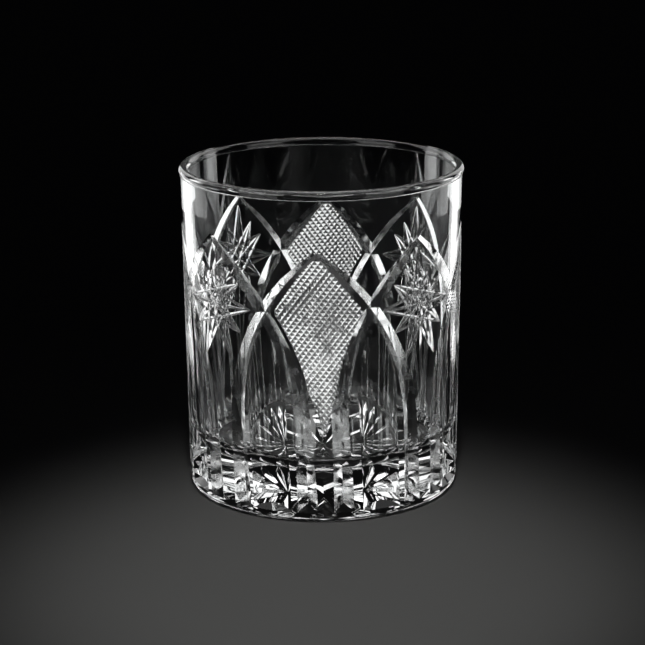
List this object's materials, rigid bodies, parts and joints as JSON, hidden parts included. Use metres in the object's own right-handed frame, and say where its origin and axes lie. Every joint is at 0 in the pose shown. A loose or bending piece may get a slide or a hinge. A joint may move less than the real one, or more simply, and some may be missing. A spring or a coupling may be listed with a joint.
{
  "type": "whiskey tumbler",
  "caption": "Straight-sided cut crystal whiskey tumbler with a thick base, rounded rim bead, crossed gothic arch cuts, hatched diamonds, stars and a star cut underside.",
  "frame": {"origin": "centre of the base, on the table plane", "axes": "+Z is the axis of the glass and points from the base to the rim; -Y faces the panel with a hatched diamond; +X is to the right when looking along +Y"},
  "size_m": [0.082, 0.082, 0.0955],
  "materials": {
    "crystal": "polished"
  },
  "bodies": {
    "root": {"tumbler": "crystal"}
  },
  "joints": []
}
